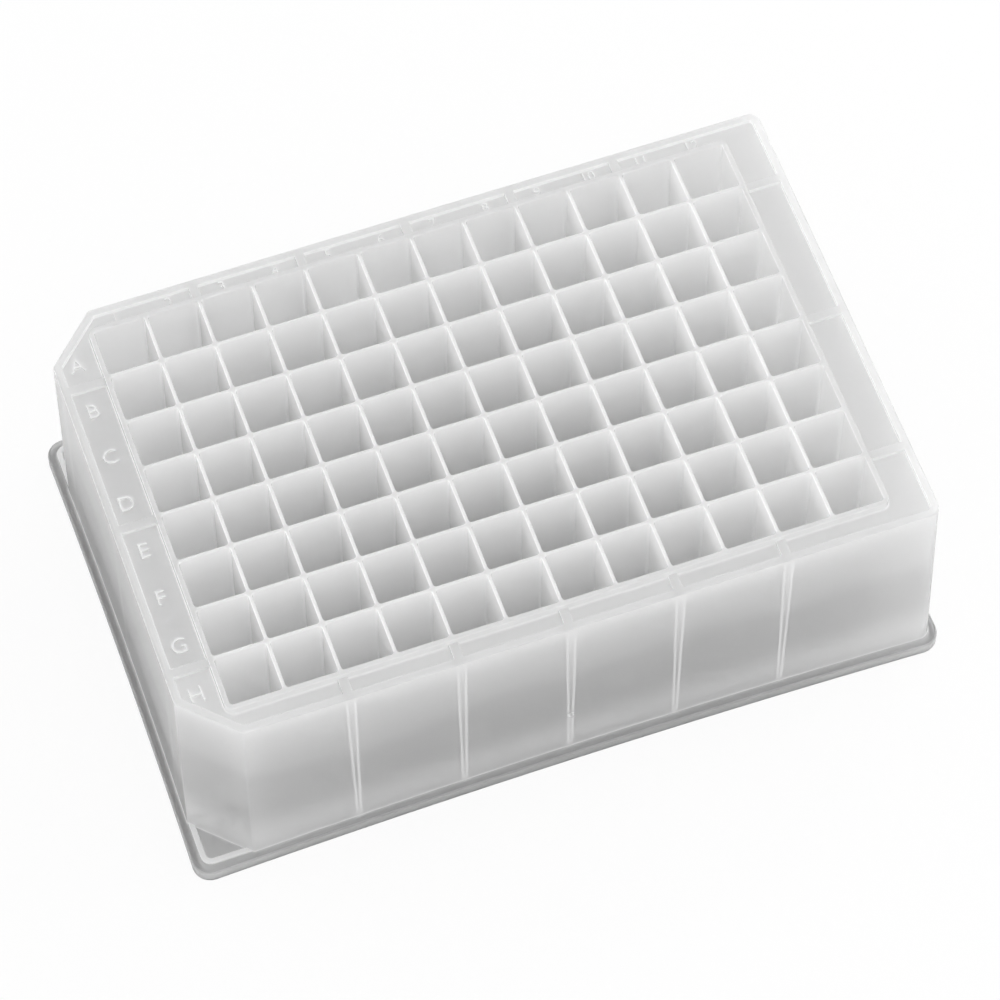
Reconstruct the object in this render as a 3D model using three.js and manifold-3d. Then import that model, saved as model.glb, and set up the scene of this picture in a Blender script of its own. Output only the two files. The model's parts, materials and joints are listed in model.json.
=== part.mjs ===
// Deep-well plate with 96 square wells, moulded in one piece from natural polypropylene.
// Millimetres, +Z up. The origin is the centre of the base: X runs along the columns, from
// column 1 to column 12, and Y points to row A. Two corners, A1 and H1, are cut off.

import * as THREE from 'three';
import Module from 'manifold-3d';

const wasm = await Module();
wasm.setup();

// Footprint and height
const footprintLength = 127.76;
const footprintWidth = 85.48;
const footprintRadius = 3;
const plateHeight = 43;

// Wells
const columns = 12;
const rows = 8;
const pitch = 9;
const wallBetweenMouths = 0.6;
const wellCornerRadius = 0.8;
const wellLean = 0.5; // how far each side of a well leans in on the way down to its slope
const bottomSlopeHeight = 3.2;
const bottomFlatWidth = 1.6;
const bottomWall = 0.8;
const slopeWall = 0.6; // beside the sloping bottom of a well
const wellsAboveBench = 1.6;

// Frame: the outer wall of the well block, which stands above the deck
const frameWall = 0.9;
const frameRadius = 1.5;
const rimBelowMouths = 1;

// Deck: shallow pockets between the frame and the rim, with bars between the pockets
const pocketDepth = 0.7;
const deckThickness = 1.2;
const rimWidth = 1.3;
const barWidth = 1.6;
const columnsPerPocket = 2;
const rowsPerPocket = 3;
const firstBarRow = 1;

// Ribs under the bars, from the skirt to the well block
const ribTopWidth = 1.8;
const ribFootWidth = 1;
const ribsAboveBench = 4;

// Skirt
const skirtWall = 1.2;
const skirtLean = 0.8; // how far the skirt leans in on the way up to the rim
const cornerCut = 8.4; // leg of the two cut corners
const cornerRadius = 2;
const longSideBow = 1; // how far the foot of a long side is drawn in at its middle
const shortSideBow = 0.4;

// Base flange
const flangeReach = 1.4;
const flangeHeight = 2.6;
const flangeFloor = 1.2;
const flangeEdgeRadius = 0.6;
const footEdge = 0.25;

// Low ribs on the flange, where the skirt would stand if its corners weren't cut
const cornerRibWidth = 1;
const cornerRibHeight = 0.6;
const cornerRibSetback = 0.1;

// How finely the curves are divided
const sideSteps = 8;
const cornerSteps = 3;
const wellCornerSteps = 1;
const edgeSteps = 2;

// Construction
const overcut = 1; // how far a cutting solid reaches past the face that it opens
const seat = 0.4; // how far a joined solid reaches into its neighbour
const leastRadius = 0.3; // of a corner inside a wall

// Levels
const rimTop = plateHeight - rimBelowMouths;
const pocketFloor = rimTop - pocketDepth;
const deckUnderside = pocketFloor - deckThickness;
const wellFloor = wellsAboveBench + bottomWall;
const slopeTop = wellFloor + bottomSlopeHeight;

// Sizes that follow from the ones above
const footX = footprintLength / 2;
const footY = footprintWidth / 2;
const mouthWidth = pitch - wallBetweenMouths;
const slopeWidth = mouthWidth - 2 * wellLean;
const wallAroundBlock = frameWall - wallBetweenMouths / 2;
const blockX = (columns * pitch) / 2 + wallAroundBlock;
const blockY = (rows * pitch) / 2 + wallAroundBlock;

/** Points on a quarter circle that starts at an angle in degrees. */
function quarter(x, y, radius, start, steps) {
  const from = THREE.MathUtils.degToRad(start);
  return new THREE.EllipseCurve(x, y, radius, radius, from, from + Math.PI / 2).getPoints(steps);
}

/** The points between the two ends of a side whose middle is drawn in by (x, y). */
function bowedSide(start, end, x, y) {
  const control = start.clone().lerp(end, 0.5).add(new THREE.Vector2(2 * x, 2 * y));
  return new THREE.QuadraticBezierCurve(start, control, end).getPoints(sideSteps).slice(1, -1);
}

/** An outline from the points of its four corners, with the sides between them drawn in. */
function plateOutline(frontLeft, frontRight, backRight, backLeft, longBow, shortBow) {
  return [
    ...frontLeft,
    ...bowedSide(frontLeft.at(-1), frontRight[0], 0, longBow),
    ...frontRight,
    ...bowedSide(frontRight.at(-1), backRight[0], -shortBow, 0),
    ...backRight,
    ...bowedSide(backRight.at(-1), backLeft[0], 0, -longBow),
    ...backLeft,
    ...bowedSide(backLeft.at(-1), frontLeft[0], shortBow, 0),
  ];
}

/** A rectangle with round corners. */
function roundedOutline(x, y, radius, longBow = 0, shortBow = 0) {
  const cx = x - radius;
  const cy = y - radius;
  return plateOutline(
    quarter(-cx, -cy, radius, 180, cornerSteps),
    quarter(cx, -cy, radius, 270, cornerSteps),
    quarter(cx, cy, radius, 0, cornerSteps),
    quarter(-cx, cy, radius, 90, cornerSteps),
    longBow,
    shortBow,
  );
}

/** The skirt's outline at a height, moved in by a distance. */
function skirtOutline(z, inset) {
  const rise = z / rimTop;
  const x = footX - flangeReach - skirtLean * rise - inset;
  const y = footY - flangeReach - skirtLean * rise - inset;
  const cut = cornerCut - inset * (2 - Math.SQRT2);
  const radius = Math.max(cornerRadius - inset, leastRadius);
  return plateOutline(
    [new THREE.Vector2(-x, cut - y), new THREE.Vector2(cut - x, -y)],
    quarter(x - radius, radius - y, radius, 270, cornerSteps),
    quarter(x - radius, y - radius, radius, 0, cornerSteps),
    [new THREE.Vector2(cut - x, y), new THREE.Vector2(-x, y - cut)],
    longSideBow * (1 - rise),
    shortSideBow * (1 - rise),
  );
}

/** The flange's outline, moved in by a distance. */
function flangeOutline(inset) {
  const radius = Math.max(footprintRadius - inset, leastRadius);
  return roundedOutline(footX - inset, footY - inset, radius, longSideBow, shortSideBow);
}

/** A well's square outline with its corners taken off. */
function wellOutline(width, radius) {
  const c = width / 2 - radius;
  return [
    ...quarter(c, c, radius, 0, wellCornerSteps),
    ...quarter(-c, c, radius, 90, wellCornerSteps),
    ...quarter(-c, -c, radius, 180, wellCornerSteps),
    ...quarter(c, -c, radius, 270, wellCornerSteps),
  ];
}

/** A rectangle with sharp corners. */
function centredOutline(x, y) {
  return [
    new THREE.Vector2(-x, -y),
    new THREE.Vector2(x, -y),
    new THREE.Vector2(x, y),
    new THREE.Vector2(-x, y),
  ];
}

/** A closed solid through levels [height, outline] from the lowest up, moved by (x, y). */
function loft(levels, x = 0, y = 0) {
  const count = levels[0][1].length;
  const lowCentre = levels.length * count;
  const highCentre = lowCentre + 1;
  const highStart = lowCentre - count;
  const points = levels.flatMap(([z, outline]) => outline.flatMap((p) => [p.x + x, p.y + y, z]));
  for (const [z, outline] of [levels[0], levels.at(-1)]) {
    const centre = new THREE.Box2().setFromPoints(outline).getCenter(new THREE.Vector2());
    points.push(centre.x + x, centre.y + y, z);
  }
  const faces = [];
  for (let i = 0; i < count; i++) {
    const next = (i + 1) % count;
    for (let start = 0; start < highStart; start += count) {
      faces.push(start + i, start + next, start + next + count);
      faces.push(start + i, start + next + count, start + i + count);
    }
    faces.push(lowCentre, next, i);
    faces.push(highCentre, highStart + i, highStart + next);
  }
  const vertProperties = Float32Array.from(points);
  const triVerts = Uint32Array.from(faces);
  return new wasm.Manifold(new wasm.Mesh({ numProp: 3, vertProperties, triVerts }));
}

/** The centre of each well. */
function wellCentres() {
  const centres = [];
  for (let column = 0; column < columns; column++) {
    for (let row = 0; row < rows; row++) {
      centres.push([(column + 0.5 - columns / 2) * pitch, (rows / 2 - row - 0.5) * pitch]);
    }
  }
  return centres;
}

/** One solid from several. */
function join(solids) {
  return solids.reduce((whole, next) => whole.add(next));
}

/** Upright slabs across the plate, one below each bar, through levels [height, width]. */
function slabs(levels) {
  const reachX = footX + overcut;
  const reachY = footY + overcut;
  const slab = (x, y, halfSize) => {
    const outlines = levels.map(([z, width]) => [z, centredOutline(...halfSize(width / 2))]);
    return loft(outlines, x, y);
  };
  const found = [];
  for (let column = columnsPerPocket; column < columns; column += columnsPerPocket) {
    found.push(slab((column - columns / 2) * pitch, 0, (half) => [half, reachY]));
  }
  for (let row = firstBarRow; row < rows; row += rowsPerPocket) {
    found.push(slab(0, (rows / 2 - row) * pitch, (half) => [reachX, half]));
  }
  return join(found);
}

/** The base flange, a full rectangle with a rounded upper edge. */
function makeFlange() {
  const levels = [
    [0, flangeOutline(footEdge)],
    [footEdge, flangeOutline(0)],
  ];
  for (let step = 0; step <= edgeSteps; step++) {
    const angle = (Math.PI / 2) * (step / edgeSteps);
    const z = flangeHeight - flangeEdgeRadius * (1 - Math.sin(angle));
    levels.push([z, flangeOutline(flangeEdgeRadius * (1 - Math.cos(angle)))]);
  }
  return loft(levels);
}

/** The low ribs on the flange, outside the two cut corners. */
function makeCornerRibs() {
  const low = flangeHeight - seat;
  const high = flangeHeight + cornerRibHeight;
  const skirtX = footX - flangeReach;
  const skirtY = footY - flangeReach;
  const ring = (inset, past) => {
    const radius = Math.max(cornerRadius - inset, leastRadius);
    const outline = roundedOutline(skirtX - inset, skirtY - inset, radius);
    return loft([[low - past, outline], [high + past, outline]]);
  };
  const corner = centredOutline(cornerCut, cornerCut);
  const cornerBlock = (y) => loft([[low - overcut, corner], [high + overcut, corner]], -skirtX, y);
  return ring(cornerRibSetback, 0)
    .subtract(ring(cornerRibSetback + cornerRibWidth, overcut))
    .intersect(cornerBlock(-skirtY).add(cornerBlock(skirtY)));
}

/** A well's corner radius shrinks with its width towards the small flat at the bottom. */
function tipRadius(radius) {
  return (radius * bottomFlatWidth) / slopeWidth;
}

/** The well block, with the sloping bottoms of the wells below it, still solid. */
function makeWellBlock() {
  const block = roundedOutline(blockX, blockY, frameRadius);
  const radius = wellCornerRadius + slopeWall;
  const slope = wellOutline(slopeWidth + 2 * slopeWall, radius);
  const bottom = [
    [wellsAboveBench, wellOutline(bottomFlatWidth + 2 * slopeWall, tipRadius(radius))],
    [slopeTop, slope],
    [slopeTop + seat, slope],
  ];
  const bottoms = wellCentres().map(([x, y]) => loft(bottom, x, y));
  return join([loft([[slopeTop, block], [plateHeight, block]]), ...bottoms]);
}

/** The hollow of one well. */
function makeWellHollow(x, y) {
  const depth = plateHeight - slopeTop;
  const overWidth = mouthWidth + (2 * wellLean * overcut) / depth;
  return loft(
    [
      [wellFloor, wellOutline(bottomFlatWidth, tipRadius(wellCornerRadius))],
      [slopeTop, wellOutline(slopeWidth, wellCornerRadius)],
      [plateHeight + overcut, wellOutline(overWidth, wellCornerRadius)],
    ],
    x,
    y,
  );
}

/** The hollow under the deck, round the well block, without the ribs. */
function makeUnderside(wellBlock) {
  const skirtHollow = loft([-overcut, deckUnderside].map((z) => [z, skirtOutline(z, skirtWall)]));
  const lip = flangeOutline(skirtWall);
  const flangeHollow = loft([[-overcut, lip], [flangeHeight - flangeFloor, lip]]);
  const insideBlock = roundedOutline(blockX - seat, blockY - seat, frameRadius);
  const ribs = slabs([[ribsAboveBench, ribFootWidth], [deckUnderside + seat, ribTopWidth]])
    .subtract(loft([[0, insideBlock], [plateHeight, insideBlock]]));
  return skirtHollow.add(flangeHollow).subtract(wellBlock).subtract(ribs);
}

/** The shallow pockets in the deck, round the whole of the block. */
function makePockets() {
  const open = rimTop + overcut;
  const strip = loft([pocketFloor, open].map((z) => [z, skirtOutline(z, rimWidth)]));
  const bars = slabs([[pocketFloor - overcut, barWidth], [open + overcut, barWidth]]);
  return strip.subtract(bars);
}

/** The whole plate as one solid. */
function makePlate() {
  const wellBlock = makeWellBlock();
  const skirt = loft([0, rimTop].map((z) => [z, skirtOutline(z, 0)]));
  const wells = join(wellCentres().map(([x, y]) => makeWellHollow(x, y)));
  return join([skirt, makeFlange(), makeCornerRibs()])
    .subtract(makeUnderside(wellBlock))
    .subtract(makePockets())
    .add(wellBlock)
    .subtract(wells);
}

/** A three.js geometry from a finished solid. */
function toGeometry(solid) {
  const mesh = solid.getMesh();
  const geometry = new THREE.BufferGeometry();
  geometry.setAttribute('position', new THREE.BufferAttribute(mesh.vertProperties, 3));
  geometry.setIndex(new THREE.BufferAttribute(mesh.triVerts, 1));
  return geometry;
}

const naturalPolypropylene = new THREE.MeshStandardMaterial({
  color: 0xdfe1e1,
  roughness: 0.35,
  metalness: 0,
  flatShading: true,
});

const wellPlate = new THREE.Mesh(toGeometry(makePlate()), naturalPolypropylene);
wellPlate.name = 'well_plate';

const group = new THREE.Group();
group.add(wellPlate);

export default group;
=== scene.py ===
"""A deep-well plate with 96 square wells, moulded in one piece from natural polypropylene."""
import json
import math

import bmesh
import bpy
from mathutils import Matrix, Vector


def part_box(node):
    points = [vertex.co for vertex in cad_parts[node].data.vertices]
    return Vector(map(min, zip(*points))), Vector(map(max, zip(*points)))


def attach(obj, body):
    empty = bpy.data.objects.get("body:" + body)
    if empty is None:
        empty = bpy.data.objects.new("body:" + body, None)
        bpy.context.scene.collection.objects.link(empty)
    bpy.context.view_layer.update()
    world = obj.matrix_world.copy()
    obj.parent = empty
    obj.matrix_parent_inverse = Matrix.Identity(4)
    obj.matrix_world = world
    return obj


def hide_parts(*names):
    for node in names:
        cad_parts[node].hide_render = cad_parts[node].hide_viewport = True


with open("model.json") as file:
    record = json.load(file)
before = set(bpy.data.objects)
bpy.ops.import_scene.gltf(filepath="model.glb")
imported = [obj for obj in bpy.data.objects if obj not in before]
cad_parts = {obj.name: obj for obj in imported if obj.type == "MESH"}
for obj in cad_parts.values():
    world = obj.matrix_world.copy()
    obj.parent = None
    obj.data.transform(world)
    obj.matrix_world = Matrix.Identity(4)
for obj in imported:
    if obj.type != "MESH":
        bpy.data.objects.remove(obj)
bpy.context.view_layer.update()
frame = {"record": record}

MM = 0.001
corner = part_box("well_plate")[1]
mounts = {mount["name"]: mount for mount in frame["record"]["mounts"]}

# The plate's own sizes, in metres, as in the CAD
FOOT_X = corner.x
FOOT_Y = corner.y
HEIGHT = corner.z
RIM_TOP = mounts["stacking_rim"]["pos_m"][2]

COLUMNS = 12
ROWS = 8
PITCH = 9 * MM
WALL_BETWEEN_MOUTHS = 0.6 * MM
WELL_CORNER_RADIUS = 0.45 * MM
WELL_LEAN = 0.5 * MM
BOTTOM_SLOPE_HEIGHT = 3.2 * MM
BOTTOM_FLAT_WIDTH = 1.6 * MM
BOTTOM_WALL = 0.8 * MM
SLOPE_WALL = 0.6 * MM
WELLS_ABOVE_BENCH = 1.6 * MM

FRAME_WALL = 0.9 * MM
FRAME_RADIUS = 1.5 * MM

POCKET_DEPTH = 0.7 * MM
DECK_THICKNESS = 1.2 * MM
RIM_WIDTH = 1.3 * MM
BAR_WIDTH = 1.6 * MM
COLUMNS_PER_POCKET = 2
ROWS_PER_POCKET = 3
FIRST_BAR_ROW = 1

RIB_TOP_WIDTH = 1.8 * MM
RIB_FOOT_WIDTH = 1 * MM
RIBS_ABOVE_BENCH = 4 * MM

SKIRT_WALL = 1.2 * MM
SKIRT_LEAN = 0.8 * MM
CORNER_CUT = 8.4 * MM
CORNER_RADIUS = 2 * MM
LONG_SIDE_BOW = 1 * MM
SHORT_SIDE_BOW = 0.4 * MM

FLANGE_REACH = 1.4 * MM
FLANGE_HEIGHT = 2.6 * MM
FLANGE_FLOOR = 1.2 * MM
FLANGE_EDGE_RADIUS = 0.6 * MM
FLANGE_CORNER_RADIUS = 3 * MM
FOOT_EDGE = 0.25 * MM

# Marks moulded into the deck and the skirt
MARK_RISE = 0.35 * MM
LETTER_HEIGHT = 2.6 * MM
LETTERS_X = -57.9 * MM
NUMBER_HEIGHT = 1.8 * MM
NUMBERS_Y = 38 * MM
GATE_HEIGHT = 13.5 * MM
GATE_RADIUS = 0.6 * MM
GATE_RISE = 0.5 * MM
MARK_SINK = 0.1 * MM

# The low L ribs on the flange, outside the cut corners
CORNER_RIB_WIDTH = 1 * MM
CORNER_RIB_EDGE_RADIUS = 0.25 * MM
CORNER_RIB_HEIGHT = 0.6 * MM
CORNER_RIB_SETBACK = 0.1 * MM

# The small roundings that the CAD leaves out
CUT_EDGE_RADIUS = 0.8 * MM
RIM_EDGE_RADIUS = 0.3 * MM
FRAME_EDGE_RADIUS = 0.22 * MM
FRAME_FOOT_RADIUS = 0.35 * MM
MOUTH_EDGE_RADIUS = 0.28 * MM
POCKET_EDGE_RADIUS = 0.15 * MM
BAR_EDGE_RADIUS = 0.2 * MM
SKIRT_FOOT_RADIUS = 0.35 * MM
LEAST_RADIUS = 0.3 * MM

# Construction: how far cuts and seats reach, and how finely curves are stepped
OVERCUT = 1 * MM
SEAT = 0.4 * MM
CORNER_STEPS = 6
WELL_CORNER_STEPS = 4
SIDE_STEPS = 24
EDGE_STEPS = 4
MOUTH_STEPS = 3
MARK_STEPS = 3
GATE_SIDES = 20
SHARP_ANGLE = 40
FLATNESS = 100
CAP_HEIGHT = 0.68
WELD = 0.001 * MM

# Plastic. Its colours are sRGB codes: two tones of its clouds, the painted shade of the skirt's middle band,
# the painted shade of the flange's ledge
CLOUD_LIGHT = "#FFFFFF"
CLOUD_DARK = "#FEFEFE"
# Painted shade: the skirt's middle band, between its hazy top and foot, is greyer, for the dimmer light in
# the gap behind it
SKIRT_BAND_SHADE = "#F7F7F7"
# Painted shade: the flange's flat ledge is greyer, for the shade under it
LEDGE_SHADE = "#E4E4E4"
CLOUD_SIZE = 22 * MM
CLOUD_SHARE = 0.25
GRAIN_SIZE = 0.6 * MM
GRAIN_DEPTH = 0.003 * MM
NOISE_LOW = 0.3
NOISE_HIGH = 0.7
PLASTIC_IOR = 1.49
BLUR_LEAST = 0.28
BLUR_MOST = 0.34
GLOSS_ROUGHNESS = 0.13

# How milky each place is, from 0 to 1, and how clear the rest of it is
MILKY_WELLS = 0.88
MILKY_POSTS = 1
MILKY_SHELL = 0.5
MILKY_SHELL_TOP = 0.62
MILKY_WHITENED = 0.35
CLEAR_THIN = 0.9
CLEAR_WHITENED = 0.2

# Where those places are
SHELL_OVERLAP = 0.3 * MM
POST_REACH = 1.1 * MM
POST_BLUR = 0.8 * MM
# Painted light: above this cloudy level the skirt is made milkier and whiter, for the light that comes down
# through the deck
HAZE_FOOT = 24 * MM
HAZE_BLUR = 6 * MM
HAZE_WAVE = 12 * MM
# Painted light: the skirt's foot is made milkier and whiter, for the light from the table
FOOT_HAZE_FOOT = 4 * MM
FOOT_HAZE_TOP = 16 * MM
FOOT_WHITENING = 0.4
# The ribs show through the skirt partly by their real thickness and partly as painted light carried down
# them from the deck
RIB_LINE = 0.35 * MM
RIB_BLUR = 0.15 * MM
RIB_SHOW = 0.55
RIB_EDGE_SHOW = 0.95
LAST_LONG_SIDE_RIB = (COLUMNS / 2 - COLUMNS_PER_POCKET) * PITCH
LAST_SHORT_SIDE_RIB = ROWS_PER_POCKET * PITCH
# Painted highlights: the marks and the crease over the flange are whitened
MARK_CLEARANCE = 0.03 * MM
CREASE_FOOT = 0.15 * MM
CREASE_TOP = 0.65 * MM
LEDGE_REACH = 0.12 * MM

# Camera
LENS = 168.73
NEAR_CLIP = 0.05
CAMERA_PLACE = Vector((-121.276, -364.644, 676.872)) * MM
CAMERA_AIM = Vector((0.161428, 0.476064, -0.864468))
CAMERA_ROLL = -0.886

# Light: a softbox is its name, its place and size in metres, and its power in watts
ROOM_WHITE = "#FFFFFF"
ROOM_LIGHT = 0.9
SOFTBOXES = (
    ("small, behind on the right, for thin glints", (0.5, 0.4, 0.54), 0.09, 0.28),
    ("overhead", (0.05, 0.05, 0.85), 0.25, 0.5),
    ("side, left", (-0.75, -0.2, 0.15), 0.35, 0.5),
    ("side, right", (0.7, -0.05, 0.3), 0.35, 1.4),
)
BOUNCES = 28

# Table
TABLE_REACH = 3
TABLE_WHITE = "#F3F3F3"
WHITE_SHARE = 0.9

# Levels and sizes that follow from those above
POCKET_FLOOR = RIM_TOP - POCKET_DEPTH
DECK_UNDERSIDE = POCKET_FLOOR - DECK_THICKNESS
WELL_FLOOR = WELLS_ABOVE_BENCH + BOTTOM_WALL
SLOPE_TOP = WELL_FLOOR + BOTTOM_SLOPE_HEIGHT
MOUTH_WIDTH = PITCH - WALL_BETWEEN_MOUTHS
SLOPE_WIDTH = MOUTH_WIDTH - 2 * WELL_LEAN
BLOCK_X = COLUMNS * PITCH / 2 - WALL_BETWEEN_MOUTHS / 2 + FRAME_WALL
BLOCK_Y = ROWS * PITCH / 2 - WALL_BETWEEN_MOUTHS / 2 + FRAME_WALL
SKIRT_X = FOOT_X - FLANGE_REACH
SKIRT_Y = FOOT_Y - FLANGE_REACH


# ---- Outlines: closed loops of points, counter-clockwise from above

def fillet(before, corner, after, radius, steps=CORNER_STEPS):
    """The points of an arc that rounds one corner of a polygon."""
    corner = Vector(corner)
    u = (Vector(before) - corner).normalized()
    v = (Vector(after) - corner).normalized()
    half = u.angle(v) / 2
    centre = corner + (u + v).normalized() * radius / math.sin(half)
    start = corner + u * radius / math.tan(half) - centre
    end = corner + v * radius / math.tan(half) - centre
    turn = start.angle(end)
    points = []
    for step in range(steps + 1):
        t = step / steps
        blend = start * math.sin((1 - t) * turn) + end * math.sin(t * turn)
        points.append(centre + blend / math.sin(turn))
    return points


def bowed(start, end, bow, steps=SIDE_STEPS):
    """The points between the ends of a side whose middle is moved by bow."""
    points = []
    for step in range(1, steps):
        t = step / steps
        points.append(start.lerp(end, t) + Vector(bow) * 4 * t * (1 - t))
    return points


def polygon(corners, radii, bows=None, steps=CORNER_STEPS):
    """A polygon with round corners. bows holds, for each corner, the bow of the side after it, or None."""
    count = len(corners)
    arcs = [
        fillet(corners[i - 1], corners[i], corners[(i + 1) % count], radii[i], steps)
        for i in range(count)
    ]
    points = []
    for i in range(count):
        points += arcs[i]
        if bows and bows[i]:
            points += bowed(arcs[i][-1], arcs[(i + 1) % count][0], bows[i])
    return points


def rectangle(x, y, radius, bows=None, steps=CORNER_STEPS):
    """A rectangle with round corners, centred on the origin."""
    return polygon([(-x, -y), (x, -y), (x, y), (-x, y)], [radius] * 4, bows, steps)


def skirt_outline(z, inset):
    """The skirt's outline at a height, with its two cut corners, moved in by inset."""
    rise = z / RIM_TOP
    x = SKIRT_X - SKIRT_LEAN * rise - inset
    y = SKIRT_Y - SKIRT_LEAN * rise - inset
    cut = CORNER_CUT - inset * (2 - math.sqrt(2))
    long_bow = LONG_SIDE_BOW * (1 - rise)
    short_bow = SHORT_SIDE_BOW * (1 - rise)
    round_corner = max(CORNER_RADIUS - inset, LEAST_RADIUS)
    cut_corner = max(CUT_EDGE_RADIUS - inset, LEAST_RADIUS)
    corners = [(-x, cut - y), (cut - x, -y), (x, -y), (x, y), (cut - x, y), (-x, y - cut)]
    radii = [cut_corner, cut_corner, round_corner, round_corner, cut_corner, cut_corner]
    bows = [None, (0, long_bow), (-short_bow, 0), (0, -long_bow), None, (short_bow, 0)]
    return polygon(corners, radii, bows)


def flange_outline(inset):
    """The flange's outline, moved in by inset."""
    bows = [(0, LONG_SIDE_BOW), (-SHORT_SIDE_BOW, 0), (0, -LONG_SIDE_BOW), (SHORT_SIDE_BOW, 0)]
    radius = max(FLANGE_CORNER_RADIUS - inset, LEAST_RADIUS)
    return rectangle(FOOT_X - inset, FOOT_Y - inset, radius, bows)


def well_outline(width, radius):
    """A well's square outline."""
    return rectangle(width / 2, width / 2, radius, steps=WELL_CORNER_STEPS)


# ---- Edges: (height, inset) pairs that round an edge or a foot

def rounded_edge(z, radius, steps=EDGE_STEPS):
    """An outer edge, rounded up to a top at height z."""
    angles = [math.pi / 2 * step / steps for step in range(steps + 1)]
    return [(z - radius * (1 - math.sin(a)), radius * (1 - math.cos(a))) for a in angles]


def flared_foot(z, radius, steps=EDGE_STEPS):
    """A wall's foot, spreading out onto a floor at height z."""
    angles = [math.pi / 2 * step / steps for step in range(steps + 1)]
    return [(z + radius * (1 - math.cos(a)), -radius * (1 - math.sin(a))) for a in angles]


# ---- Solids

def loft(levels, x=0, y=0):
    """The points and faces of a closed solid through levels (height, outline), lowest first."""
    count = len(levels[0][1])
    points = [(p[0] + x, p[1] + y, z) for z, outline in levels for p in outline]
    faces = [tuple(reversed(range(count)))]
    for start in range(0, count * (len(levels) - 1), count):
        for i in range(count):
            j = (i + 1) % count
            faces.append((start + i, start + j, start + j + count, start + i + count))
    faces.append(tuple(range(len(points) - count, len(points))))
    return points, faces


def make_object(name, lofts):
    """One mesh object from lofts that don't touch each other."""
    points, faces = [], []
    for loft_points, loft_faces in lofts:
        first = len(points)
        points += loft_points
        faces += [tuple(first + i for i in face) for face in loft_faces]
    mesh = bpy.data.meshes.new(name)
    mesh.from_pydata(points, [], faces)
    obj = bpy.data.objects.new(name, mesh)
    bpy.context.scene.collection.objects.link(obj)
    return obj


def combine(target, operation, lofts):
    """Joins solids to the target, or cuts them from it."""
    tool = make_object("tool", lofts)
    modifier = target.modifiers.new("combine", "BOOLEAN")
    modifier.operation = operation
    modifier.solver = "MANIFOLD"
    modifier.object = tool
    bpy.context.view_layer.objects.active = target
    bpy.ops.object.modifier_apply(modifier=modifier.name)
    bpy.data.objects.remove(tool)


def well_centres():
    """The centre of each well."""
    for column in range(COLUMNS):
        for row in range(ROWS):
            yield (column + 0.5 - COLUMNS / 2) * PITCH, (ROWS / 2 - row - 0.5) * PITCH


def bar_places():
    """Where each bar starts at the well block: its place along the side, and the way it runs out."""
    for column in range(COLUMNS_PER_POCKET, COLUMNS, COLUMNS_PER_POCKET):
        x = (column - COLUMNS / 2) * PITCH
        yield x, Vector((0, -1))
        yield x, Vector((0, 1))
    for row in range(FIRST_BAR_ROW, ROWS, ROWS_PER_POCKET):
        y = (ROWS / 2 - row) * PITCH
        yield y, Vector((-1, 0))
        yield y, Vector((1, 0))


def strip_outline(place, way, half_width, end):
    """A strip across the deck, from inside the well block to inside the skirt."""
    start = (BLOCK_X if way.x else BLOCK_Y) - SEAT
    across = Vector((-way.y, way.x))
    middle = Vector((0, place)) if way.x else Vector((place, 0))
    return [
        middle + way * start - across * half_width,
        middle + way * end - across * half_width,
        middle + way * end + across * half_width,
        middle + way * start + across * half_width,
    ]


def skirt_face(way, z):
    """How far out the skirt's outer face is at a height, at its straightest."""
    reach = SKIRT_X if way.x else SKIRT_Y
    bow = SHORT_SIDE_BOW if way.x else LONG_SIDE_BOW
    rise = z / RIM_TOP
    return reach - SKIRT_LEAN * rise - bow * (1 - rise)


def make_bar(place, way):
    """A bar between two pockets, flush with the rim."""
    end = skirt_face(way, RIM_TOP) - RIM_WIDTH / 2
    levels = [(POCKET_FLOOR - SEAT, 0)] + rounded_edge(RIM_TOP, BAR_EDGE_RADIUS)
    return loft([(z, strip_outline(place, way, BAR_WIDTH / 2 - inset, end)) for z, inset in levels])


def make_rib(place, way):
    """A rib under a bar, from the well block to the skirt."""
    levels = []
    for z, width in ((RIBS_ABOVE_BENCH, RIB_FOOT_WIDTH), (DECK_UNDERSIDE + SEAT, RIB_TOP_WIDTH)):
        levels.append((z, strip_outline(place, way, width / 2, skirt_face(way, z) - SKIRT_WALL / 2)))
    return loft(levels)


def corner_rib_outline(side, inset):
    """The L of a low rib outside a cut corner: side is 1 at the back and -1 at the front."""
    outer = CORNER_RIB_SETBACK + inset
    inner = CORNER_RIB_SETBACK + CORNER_RIB_WIDTH - inset
    leg = CORNER_CUT + SEAT

    def edge(offset):
        corner = (offset, offset)
        radius = max(CORNER_RADIUS - offset, LEAST_RADIUS)
        return [(offset, leg), *fillet((offset, leg), corner, (leg, offset), radius), (leg, offset)]

    points = [Vector((p[0] - SKIRT_X, p[1] - SKIRT_Y)) for p in edge(outer) + edge(inner)[::-1]]
    return points if side < 0 else [Vector((p.x, -p.y)) for p in reversed(points)]


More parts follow.
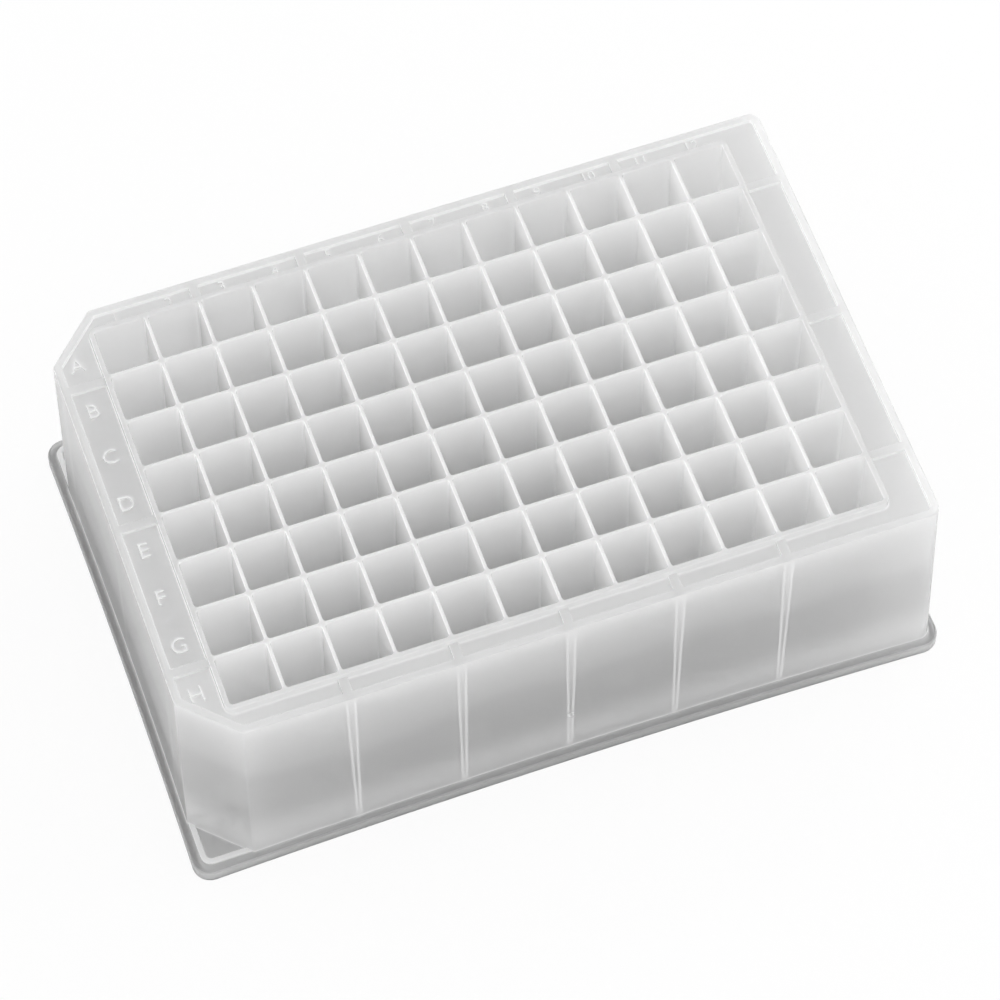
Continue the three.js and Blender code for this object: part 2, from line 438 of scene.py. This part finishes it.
def make_plate():
    """The plate as one closed mesh."""
    levels = [
        (0, 0),
        *flared_foot(FLANGE_HEIGHT, SKIRT_FOOT_RADIUS),
        *rounded_edge(RIM_TOP, RIM_EDGE_RADIUS),
    ]
    plate = make_object("plate", [loft([(z, skirt_outline(z, inset)) for z, inset in levels])])

    levels = [(0, FOOT_EDGE), (FOOT_EDGE, 0), *rounded_edge(FLANGE_HEIGHT, FLANGE_EDGE_RADIUS)]
    combine(plate, "UNION", [loft([(z, flange_outline(inset)) for z, inset in levels])])

    ribs_top = FLANGE_HEIGHT + CORNER_RIB_HEIGHT
    levels = [(FLANGE_HEIGHT - SEAT, 0), *rounded_edge(ribs_top, CORNER_RIB_EDGE_RADIUS)]
    for side in (-1, 1):
        combine(plate, "UNION", [loft([(z, corner_rib_outline(side, inset)) for z, inset in levels])])

    hollow = [(z, skirt_outline(z, SKIRT_WALL)) for z in (-OVERCUT, DECK_UNDERSIDE)]
    combine(plate, "DIFFERENCE", [loft(hollow)])
    hollow = [(z, flange_outline(SKIRT_WALL)) for z in (-OVERCUT, FLANGE_HEIGHT - FLANGE_FLOOR)]
    combine(plate, "DIFFERENCE", [loft(hollow)])

    pocket = [
        *flared_foot(POCKET_FLOOR, POCKET_EDGE_RADIUS),
        *rounded_edge(RIM_TOP, POCKET_EDGE_RADIUS),
        (RIM_TOP + OVERCUT, POCKET_EDGE_RADIUS),
    ]
    combine(plate, "DIFFERENCE", [loft([(z, skirt_outline(z, RIM_WIDTH - inset)) for z, inset in pocket])])

    combine(plate, "UNION", [make_bar(place, way) for place, way in bar_places()])
    combine(plate, "UNION", [make_rib(place, way) for place, way in bar_places()])

    levels = [
        (SLOPE_TOP, 0),
        (POCKET_FLOOR - FRAME_FOOT_RADIUS, 0),
        *flared_foot(POCKET_FLOOR, FRAME_FOOT_RADIUS),
        *rounded_edge(HEIGHT, FRAME_EDGE_RADIUS),
    ]
    block = [(z, rectangle(BLOCK_X - i, BLOCK_Y - i, FRAME_RADIUS - i)) for z, i in levels]
    combine(plate, "UNION", [loft(block)])

    radius = WELL_CORNER_RADIUS + SLOPE_WALL
    tip = well_outline(BOTTOM_FLAT_WIDTH + 2 * SLOPE_WALL, radius * BOTTOM_FLAT_WIDTH / SLOPE_WIDTH)
    slope = well_outline(SLOPE_WIDTH + 2 * SLOPE_WALL, radius)
    levels = [(WELLS_ABOVE_BENCH, tip), (SLOPE_TOP, slope), (SLOPE_TOP + SEAT, slope)]
    combine(plate, "UNION", [loft(levels, x, y) for x, y in well_centres()])

    combine(plate, "DIFFERENCE", [loft(well_levels(), x, y) for x, y in well_centres()])
    combine(plate, "UNION", make_marks())
    combine(plate, "UNION", [make_gate_mark()])
    return plate


def well_levels():
    """The hollow of a well: a small flat, four slopes, leaning walls and a rounded mouth."""
    tip_radius = WELL_CORNER_RADIUS * BOTTOM_FLAT_WIDTH / SLOPE_WIDTH
    levels = [
        (WELL_FLOOR, well_outline(BOTTOM_FLAT_WIDTH, tip_radius)),
        (SLOPE_TOP, well_outline(SLOPE_WIDTH, WELL_CORNER_RADIUS)),
    ]
    for z, inset in rounded_edge(HEIGHT, MOUTH_EDGE_RADIUS, MOUTH_STEPS):
        rise = (z - SLOPE_TOP) / (HEIGHT - SLOPE_TOP)
        width = SLOPE_WIDTH + 2 * WELL_LEAN * rise + 2 * inset
        levels.append((z, well_outline(width, WELL_CORNER_RADIUS + inset)))
    levels.append((HEIGHT + OVERCUT, levels[-1][1]))
    return levels


def make_mark(text, x, y, height):
    """The points and faces of one raised mark, standing on the deck with its middle at x and y."""
    curve = bpy.data.curves.new("mark", "FONT")
    curve.body = text
    curve.size = height / CAP_HEIGHT
    curve.resolution_u = MARK_STEPS
    curve.extrude = (MARK_RISE + MARK_SINK) / 2
    obj = bpy.data.objects.new("mark", curve)
    bpy.context.scene.collection.objects.link(obj)
    mesh = bpy.data.meshes.new_from_object(obj.evaluated_get(bpy.context.evaluated_depsgraph_get()))
    welder = bmesh.new()
    welder.from_mesh(mesh)
    bmesh.ops.remove_doubles(welder, verts=welder.verts, dist=WELD)
    bmesh.ops.recalc_face_normals(welder, faces=welder.faces)
    points = [v.co.copy() for v in welder.verts]
    faces = [tuple(v.index for v in face.verts) for face in welder.faces]
    welder.free()
    middle = [(min(p[i] for p in points) + max(p[i] for p in points)) / 2 for i in range(2)]
    lift = POCKET_FLOOR - MARK_SINK + curve.extrude
    bpy.data.objects.remove(obj)
    bpy.data.meshes.remove(mesh)
    bpy.data.curves.remove(curve)
    return [(p.x - middle[0] + x, p.y - middle[1] + y, p.z + lift) for p in points], faces


def make_marks():
    """A letter beside each row and a number behind each column."""
    marks = []
    for row in range(ROWS):
        y = (ROWS / 2 - row - 0.5) * PITCH
        marks.append(make_mark(chr(ord("A") + row), LETTERS_X, y, LETTER_HEIGHT))
    for column in range(COLUMNS):
        x = (column + 0.5 - COLUMNS / 2) * PITCH
        marks.append(make_mark(str(column + 1), x, NUMBERS_Y, NUMBER_HEIGHT))
    return marks


def make_gate_mark():
    """The low pip that the mould's gate leaves on the middle of the front wall."""
    levels = []
    for z, inset in [(-SEAT, 0), *rounded_edge(GATE_RISE, GATE_RISE)]:
        radius = GATE_RADIUS - inset
        turns = [2 * math.pi * step / GATE_SIDES for step in range(GATE_SIDES)]
        levels.append((z, [(radius * math.cos(a), radius * math.sin(a)) for a in turns]))
    points, faces = loft(levels)
    wall = skirt_face(Vector((0, -1)), GATE_HEIGHT)
    return [(x, -wall - z, GATE_HEIGHT + y) for x, y, z in points], faces


def smooth(obj, angle):
    """Shades the mesh smooth between faces that meet at less than an angle in degrees."""
    obj.data.shade_smooth()
    obj.data.set_sharp_from_angle(angle=math.radians(angle))
    modifier = obj.modifiers.new("flat faces stay flat", "WEIGHTED_NORMAL")
    modifier.keep_sharp = True
    modifier.weight = FLATNESS
    bpy.context.view_layer.objects.active = obj
    bpy.ops.object.modifier_apply(modifier=modifier.name)


# ---- Shader tools

# The inputs and the output of a Mix node that mixes colours
COLOUR_A = 6
COLOUR_B = 7
COLOUR_OUT = 2


def linear(code):
    """The linear colour of an sRGB hex code."""
    parts = [int(code[i:i + 2], 16) / 255 for i in (1, 3, 5)]
    return (*(p / 12.92 if p <= 0.04045 else ((p + 0.055) / 1.055) ** 2.4 for p in parts), 1)


def add_node(tree, kind, values=None, **settings):
    """A shader node, with its inputs and its settings. A node as an input's value gives its first output."""
    node = tree.nodes.new(kind)
    for name, value in settings.items():
        setattr(node, name, value)
    for name, value in (values or {}).items():
        if isinstance(value, bpy.types.Node):
            value = value.outputs[0]
        if isinstance(value, bpy.types.NodeSocket):
            tree.links.new(value, node.inputs[name])
        else:
            node.inputs[name].default_value = value
    return node


def new_material(name):
    """A material with an empty node tree."""
    material = bpy.data.materials.new(name)
    material.use_nodes = True
    material.node_tree.nodes.clear()
    return material, material.node_tree


# ---- Natural polypropylene

def levels_between(tree, axes, low, high):
    """1 between two heights, and 0 above and below."""
    above = add_node(tree, "ShaderNodeMath", {
        0: axes.outputs["Z"], 1: (low + high) / 2,
    }, operation="SUBTRACT")
    off = add_node(tree, "ShaderNodeMath", {0: above}, operation="ABSOLUTE")
    return add_node(tree, "ShaderNodeMath", {0: off, 1: (high - low) / 2}, operation="LESS_THAN")


def outer_shell(tree, axes):
    """1 on the skirt, the deck and the outer walls of the block of wells, and 0 among the wells."""
    inset = FRAME_WALL + SHELL_OVERLAP
    beyond = []
    for axis, block in (("X", BLOCK_X), ("Y", BLOCK_Y)):
        off = add_node(tree, "ShaderNodeMath", {0: axes.outputs[axis]}, operation="ABSOLUTE")
        beyond.append(add_node(tree, "ShaderNodeMath", {0: off, 1: block - inset}, operation="GREATER_THAN"))
    return add_node(tree, "ShaderNodeMath", {0: beyond[0], 1: beyond[1]}, operation="MAXIMUM")


def rib_bands(tree, axes, along, across, spacing, last_rib, block):
    """How strongly the ribs show through the skirt: a band under each bar, which parts into two thin lines
    lower down. 0 where the wall is on its own. Partly the ribs' real thickness behind the wall, partly
    painted light that the ribs carry down from the deck."""
    half_width = add_node(tree, "ShaderNodeMapRange", {
        "Value": axes.outputs["Z"],
        "From Min": RIBS_ABOVE_BENCH,
        "From Max": DECK_UNDERSIDE,
        "To Min": RIB_FOOT_WIDTH / 2,
        "To Max": RIB_TOP_WIDTH / 2,
    })
    off = add_node(tree, "ShaderNodeMath", {0: axes.outputs[along], 1: spacing / 2}, operation="PINGPONG")
    over = add_node(tree, "ShaderNodeMath", {0: off, 1: half_width}, operation="SUBTRACT")
    band = add_node(tree, "ShaderNodeMapRange", {
        "Value": over,
        "From Min": -RIB_BLUR,
        "From Max": RIB_BLUR,
        "To Min": 1,
        "To Max": 0,
    }, interpolation_type="SMOOTHSTEP")

    middle_shows = add_node(tree, "ShaderNodeMapRange", {
        "Value": axes.outputs["Z"],
        "From Min": RIBS_ABOVE_BENCH,
        "From Max": DECK_UNDERSIDE,
        "To Min": 0,
        "To Max": RIB_SHOW,
    })
    strength = add_node(tree, "ShaderNodeMapRange", {
        "Value": over,
        "From Min": -RIB_LINE - RIB_BLUR,
        "From Max": -RIB_LINE,
        "To Min": middle_shows,
        "To Max": RIB_EDGE_SHOW,
    }, interpolation_type="SMOOTHSTEP")

    reach = add_node(tree, "ShaderNodeMath", {0: axes.outputs[along]}, operation="ABSOLUTE")
    among = add_node(tree, "ShaderNodeMath", {0: reach, 1: last_rib + PITCH / 2}, operation="LESS_THAN")
    depth = add_node(tree, "ShaderNodeMath", {0: axes.outputs[across]}, operation="ABSOLUTE")
    outside = add_node(tree, "ShaderNodeMath", {0: depth, 1: block}, operation="GREATER_THAN")
    skirt = levels_between(tree, axes, FLANGE_HEIGHT, POCKET_FLOOR - BAR_EDGE_RADIUS)
    for mask in (among, outside, skirt, strength):
        band = add_node(tree, "ShaderNodeMath", {0: band, 1: mask}, operation="MULTIPLY")
    return band


def posts(tree, axes):
    """1 in the posts where the walls between the wells cross, and 0 on their tops and elsewhere."""
    off_x = add_node(tree, "ShaderNodeMath", {0: axes.outputs["X"], 1: PITCH / 2}, operation="PINGPONG")
    off_y = add_node(tree, "ShaderNodeMath", {0: axes.outputs["Y"], 1: PITCH / 2}, operation="PINGPONG")
    off = add_node(tree, "ShaderNodeMath", {0: off_x, 1: off_y}, operation="MAXIMUM")
    near = add_node(tree, "ShaderNodeMapRange", {
        "Value": off,
        "From Min": POST_REACH,
        "From Max": POST_REACH + POST_BLUR,
        "To Min": 1,
        "To Max": 0,
    }, interpolation_type="SMOOTHSTEP")
    below = add_node(tree, "ShaderNodeMath", {
        0: axes.outputs["Z"], 1: HEIGHT - MOUTH_EDGE_RADIUS,
    }, operation="LESS_THAN")
    return add_node(tree, "ShaderNodeMath", {0: near, 1: below}, operation="MULTIPLY")


def whitened_places(tree, axes):
    """1 at the ribs, at the edges of the marks and at the crease between the skirt and the flange, which are
    all made whiter: at the ribs partly by their thickness and partly as painted light, at the marks and the
    crease as painted highlights.
    """
    long_ribs = rib_bands(
        tree, axes, "X", "Y", COLUMNS_PER_POCKET * PITCH, LAST_LONG_SIDE_RIB, BLOCK_Y)
    short_ribs = rib_bands(
        tree, axes, "Y", "X", ROWS_PER_POCKET * PITCH, LAST_SHORT_SIDE_RIB, BLOCK_X)
    # Painted highlights on the crease over the flange and on the marks
    crease = levels_between(tree, axes, FLANGE_HEIGHT + CREASE_FOOT, FLANGE_HEIGHT + CREASE_TOP)
    mark_foot = POCKET_FLOOR + MARK_CLEARANCE
    marks = levels_between(tree, axes, mark_foot, mark_foot + MARK_RISE)
    whitened = long_ribs
    for mask in (short_ribs, marks, crease):
        whitened = add_node(tree, "ShaderNodeMath", {0: whitened, 1: mask}, operation="MAXIMUM")
    return whitened


def lit_top_haze(tree, axes, clouds):
    """1 high on the skirt, with a cloudy lower edge: painted light, the skirt made milkier and whiter there
    for the light that comes down through the deck into the gap behind it.
    """
    level = add_node(tree, "ShaderNodeMath", {
        0: clouds, 1: HAZE_WAVE, 2: axes.outputs["Z"],
    }, operation="MULTIPLY_ADD")
    return add_node(tree, "ShaderNodeMapRange", {
        "Value": level,
        "From Min": HAZE_FOOT + HAZE_WAVE / 2,
        "From Max": HAZE_FOOT + HAZE_WAVE / 2 + HAZE_BLUR,
    }, interpolation_type="SMOOTHSTEP")


def lit_foot_haze(tree, axes):
    """1 at the foot of the skirt, and less higher up: painted light, the foot made milkier and whiter for
    the light from the table.
    """
    return add_node(tree, "ShaderNodeMapRange", {
        "Value": axes.outputs["Z"],
        "From Min": FOOT_HAZE_FOOT,
        "From Max": FOOT_HAZE_TOP,
        "To Min": 1,
        "To Max": 0,
    }, interpolation_type="SMOOTHSTEP")


def plastic_colour(tree, axes, clouds, shaded_band):
    """A nearly even white with faint clouds, with painted shade: greyer on the skirt's middle band and on
    the flange's ledge.
    """
    cloud = add_node(tree, "ShaderNodeMapRange", {
        "Value": clouds,
        "From Min": NOISE_LOW,
        "From Max": NOISE_HIGH,
        "To Min": 0,
        "To Max": CLOUD_SHARE,
    })
    cloudy = add_node(tree, "ShaderNodeMix", {
        0: cloud, COLOUR_A: linear(CLOUD_LIGHT), COLOUR_B: linear(CLOUD_DARK),
    }, data_type="RGBA")
    skirt = add_node(tree, "ShaderNodeMix", {
        0: shaded_band, COLOUR_A: cloudy.outputs[COLOUR_OUT], COLOUR_B: linear(SKIRT_BAND_SHADE),
    }, data_type="RGBA")
    # Painted shade on the flange's ledge
    ledge = levels_between(tree, axes, FLANGE_HEIGHT - LEDGE_REACH, FLANGE_HEIGHT + LEDGE_REACH)
    colour = add_node(tree, "ShaderNodeMix", {
        0: ledge, COLOUR_A: skirt.outputs[COLOUR_OUT], COLOUR_B: linear(LEDGE_SHADE),
    }, data_type="RGBA")
    return colour.outputs[COLOUR_OUT]


def make_polypropylene():
    """Natural polypropylene, injection moulded. It is milky right through: thin walls glow with the light
    behind them, ribbed places look whiter, partly by painted light, and the skin has a soft half gloss with
    a fine moulded grain.
    Painted light and shade: the skirt is whiter at its top and its foot and greyer between, the marks and
    the crease over the flange are whiter as painted highlights, and the flange's ledge is greyer as painted
    shade."""
    material, tree = new_material("natural polypropylene, moulded")
    place = add_node(tree, "ShaderNodeTexCoord").outputs["Object"]
    axes = add_node(tree, "ShaderNodeSeparateXYZ", {0: place})
    clouds = add_node(tree, "ShaderNodeTexNoise", {"Vector": place, "Scale": 1 / CLOUD_SIZE, "Detail": 1})
    grain = add_node(tree, "ShaderNodeTexNoise", {"Vector": place, "Scale": 1 / GRAIN_SIZE, "Detail": 0})
    roughness = add_node(tree, "ShaderNodeMapRange", {
        "Value": grain,
        "From Min": NOISE_LOW,
        "From Max": NOISE_HIGH,
        "To Min": BLUR_LEAST,
        "To Max": BLUR_MOST,
    })
    bump = add_node(tree, "ShaderNodeBump", {"Height": grain, "Strength": 1, "Distance": GRAIN_DEPTH})

    # The skirt is made hazy and whiter at its top and at its foot as painted light, for the light that comes
    # down through the deck and the light from the table; its foot also passes less light straight through,
    # and between the two it keeps a greyer painted shade
    shell = outer_shell(tree, axes)
    foot = lit_foot_haze(tree, axes)
    lit_haze = add_node(tree, "ShaderNodeMath", {0: lit_top_haze(tree, axes, clouds), 1: foot}, operation="MAXIMUM")
    above_flange = add_node(tree, "ShaderNodeMath", {
        0: axes.outputs["Z"], 1: FLANGE_HEIGHT,
    }, operation="GREATER_THAN")
    # Painted light at the skirt's foot: part of the foot haze also whitens it
    lit_skirt_foot = add_node(tree, "ShaderNodeMath", {0: foot, 1: above_flange}, operation="MULTIPLY")
    lit_skirt_foot = add_node(tree, "ShaderNodeMath", {0: lit_skirt_foot, 1: shell}, operation="MULTIPLY")
    whitened = add_node(tree, "ShaderNodeMath", {
        0: lit_skirt_foot, 1: FOOT_WHITENING, 2: whitened_places(tree, axes),
    }, operation="MULTIPLY_ADD", use_clamp=True)
    # Painted shade: the skirt's middle band, outside the haze and the whitened places, gets the greyer
    # colour
    shaded_band = add_node(tree, "ShaderNodeMath", {0: shell, 1: lit_haze}, operation="SUBTRACT", use_clamp=True)
    shaded_band = add_node(tree, "ShaderNodeMath", {0: shaded_band, 1: whitened}, operation="SUBTRACT", use_clamp=True)
    colour = plastic_colour(tree, axes, clouds, shaded_band)

    # The body: part of the light is scattered right through it, and the rest passes or is thrown back
    milky_shell = add_node(tree, "ShaderNodeMapRange", {
        "Value": lit_haze, "To Min": MILKY_SHELL, "To Max": MILKY_SHELL_TOP,
    })
    milky_wells = add_node(tree, "ShaderNodeMapRange", {
        "Value": posts(tree, axes), "To Min": MILKY_WELLS, "To Max": MILKY_POSTS,
    })
    milky = add_node(tree, "ShaderNodeMix", {"Factor": shell, "A": milky_wells, "B": milky_shell})
    milky = add_node(tree, "ShaderNodeMix", {"Factor": whitened, "A": milky, "B": MILKY_WHITENED})
    clear = add_node(tree, "ShaderNodeMapRange", {
        "Value": whitened, "To Min": CLEAR_THIN, "To Max": CLEAR_WHITENED,
    })
    plain = add_node(tree, "ShaderNodeBsdfPrincipled", {
        "Base Color": colour,
        "Roughness": roughness,
        "Normal": bump,
        "IOR": PLASTIC_IOR,
        "Transmission Weight": clear,
    })
    glow = add_node(tree, "ShaderNodeBsdfTranslucent", {"Color": colour})
    body = add_node(tree, "ShaderNodeMixShader", {0: milky, 1: plain, 2: glow})

    # The skin: a half gloss on the outer side of every wall
    facing = add_node(tree, "ShaderNodeFresnel", {"IOR": PLASTIC_IOR, "Normal": bump})
    inner = add_node(tree, "ShaderNodeNewGeometry").outputs["Backfacing"]
    outer = add_node(tree, "ShaderNodeMath", {0: 1, 1: inner}, operation="SUBTRACT")
    shine = add_node(tree, "ShaderNodeMath", {0: facing, 1: outer}, operation="MULTIPLY")
    gloss = add_node(tree, "ShaderNodeBsdfAnisotropic", {"Roughness": GLOSS_ROUGHNESS, "Normal": bump})
    surface = add_node(tree, "ShaderNodeMixShader", {0: shine, 1: body, 2: gloss})
    add_node(tree, "ShaderNodeOutputMaterial", {"Surface": surface})
    return material


# ---- Camera, light and table

def make_camera():
    """A long lens, from the front left and well above."""
    camera = bpy.data.objects.new("camera", bpy.data.cameras.new("camera"))
    camera.data.lens = LENS
    camera.data.clip_start = NEAR_CLIP
    roll = Matrix.Rotation(math.radians(CAMERA_ROLL), 3, "Z")
    turn = CAMERA_AIM.to_track_quat("-Z", "Y").to_matrix() @ roll
    camera.matrix_world = Matrix.Translation(CAMERA_PLACE) @ turn.to_4x4()
    bpy.context.scene.collection.objects.link(camera)
    bpy.context.scene.camera = camera


def make_softbox(name, place, size, power):
    """A square soft light that faces the plate."""
    lamp = bpy.data.lights.new(name, "AREA")
    lamp.shape = "SQUARE"
    lamp.size = size
    lamp.energy = power
    obj = bpy.data.objects.new(name, lamp)
    obj.location = place
    towards_plate = Vector((0, 0, HEIGHT)) - Vector(place)
    obj.rotation_euler = towards_plate.to_track_quat("-Z", "Y").to_euler()
    bpy.context.scene.collection.objects.link(obj)


def make_studio():
    """A white room with four softboxes, the strongest on the right."""
    world = bpy.data.worlds.new("studio")
    bpy.context.scene.world = world
    world.use_nodes = True
    background = world.node_tree.nodes["Background"]
    background.inputs["Color"].default_value = linear(ROOM_WHITE)
    background.inputs["Strength"].default_value = ROOM_LIGHT
    for softbox in SOFTBOXES:
        make_softbox(*softbox)


def make_table():
    """A matt white table: the camera sees it white, and it keeps a little of the plate's shadow."""
    mesh = bpy.data.meshes.new("table")
    r = TABLE_REACH
    mesh.from_pydata([(-r, -r, 0), (r, -r, 0), (r, r, 0), (-r, r, 0)], [], [(0, 1, 2, 3)])
    table = bpy.data.objects.new("table", mesh)
    bpy.context.scene.collection.objects.link(table)
    material, tree = new_material("matt white laminate")
    seen = add_node(tree, "ShaderNodeLightPath").outputs["Is Camera Ray"]
    matt = add_node(tree, "ShaderNodeBsdfDiffuse", {"Color": linear(TABLE_WHITE)})
    white = add_node(tree, "ShaderNodeEmission", {"Color": linear(ROOM_WHITE), "Strength": 1})
    share = add_node(tree, "ShaderNodeMath", {0: seen, 1: WHITE_SHARE}, operation="MULTIPLY")
    surface = add_node(tree, "ShaderNodeMixShader", {0: share, 1: matt, 2: white})
    add_node(tree, "ShaderNodeOutputMaterial", {"Surface": surface})
    mesh.materials.append(material)
    return table


plate = make_plate()
smooth(plate, SHARP_ANGLE)
plate.data.materials.clear()
plate.data.materials.append(make_polypropylene())
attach(plate, "root")
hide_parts("well_plate")

make_camera()
make_studio()
make_table()

scene = bpy.context.scene
scene.view_settings.view_transform = "Standard"
# With four lamps the light tree only costs time
scene.cycles.use_light_tree = False
# The plastic passes light on many times before it goes dark
scene.cycles.max_bounces = BOUNCES
scene.cycles.diffuse_bounces = BOUNCES
scene.cycles.transmission_bounces = BOUNCES
